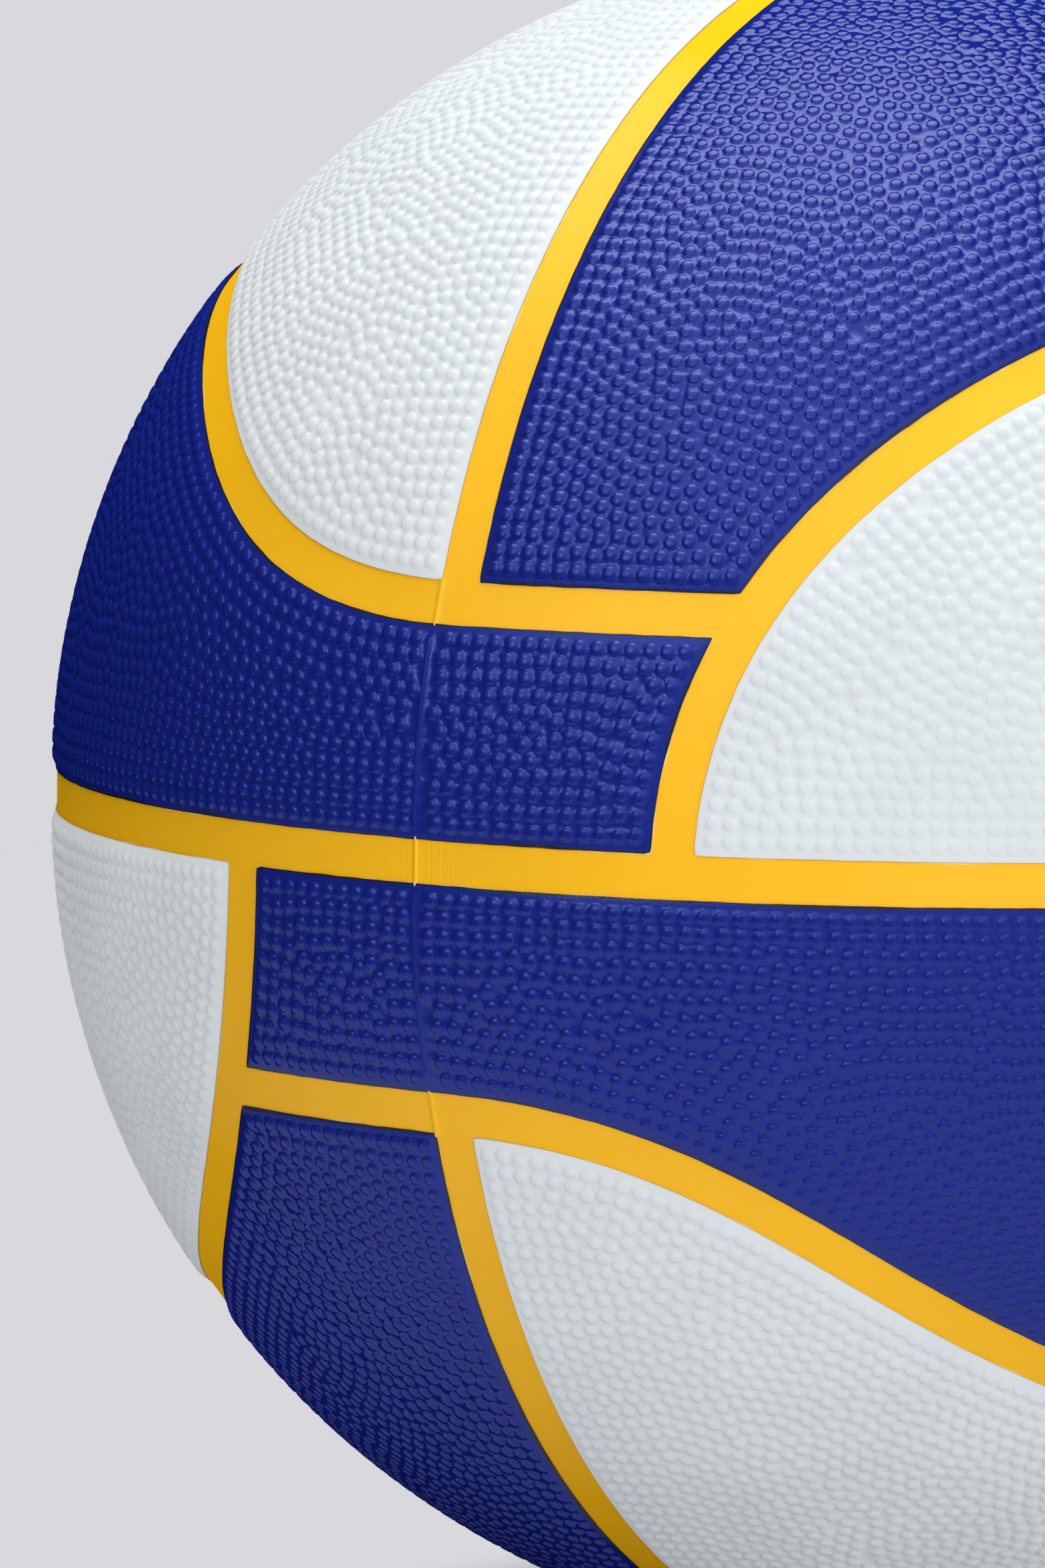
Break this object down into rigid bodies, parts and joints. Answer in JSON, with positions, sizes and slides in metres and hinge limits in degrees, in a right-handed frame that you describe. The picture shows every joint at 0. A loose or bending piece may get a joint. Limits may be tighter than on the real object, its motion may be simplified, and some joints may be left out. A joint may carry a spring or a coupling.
{
  "type": "basketball",
  "caption": "Moulded rubber ball with pebbled two-colour panels set between inlaid channel strips, over a wound carcass and an air bladder with a plugged needle valve.",
  "frame": {"origin": "centre of the ball", "axes": "+Z is the normal of the equator channel's plane, -Y points out of the front face through the middle of its crossing, +X points to the right side, where the valve is"},
  "size_m": [0.2384, 0.2384, 0.2384],
  "materials": {
    "white_rubber": "satin",
    "blue_rubber": "satin",
    "yellow_rubber": "satin",
    "carcass_rubber": "matte",
    "nylon_thread": "matte",
    "butyl_rubber": "matte",
    "valve_rubber": "satin"
  },
  "bodies": {
    "ball": {"panel_top_left": "white_rubber", "panel_top_right": "blue_rubber", "panel_upper_left": "blue_rubber", "panel_upper_right": "white_rubber", "panel_lower_left": "white_rubber", "panel_lower_right": "blue_rubber", "panel_bottom_left": "blue_rubber", "panel_bottom_right": "white_rubber", "equator_strip": "yellow_rubber", "top_meridian_strip": "yellow_rubber", "bottom_meridian_strip": "yellow_rubber", "loop_strip_upper_left": "yellow_rubber", "loop_strip_upper_right": "yellow_rubber", "loop_strip_lower_left": "yellow_rubber", "loop_strip_lower_right": "yellow_rubber", "carcass": "carcass_rubber", "thread_winding": "nylon_thread", "bladder": "butyl_rubber", "valve_patch": "butyl_rubber", "valve_housing": "valve_rubber"},
    "plug": {"valve_plug": "valve_rubber"}
  },
  "joints": [
    {"name": "valve_plug_pull", "type": "slide", "parent": "ball", "child": "plug", "axis": [0.9336, 0, 0.3584], "range_m": [0, 0.018]}
  ]
}
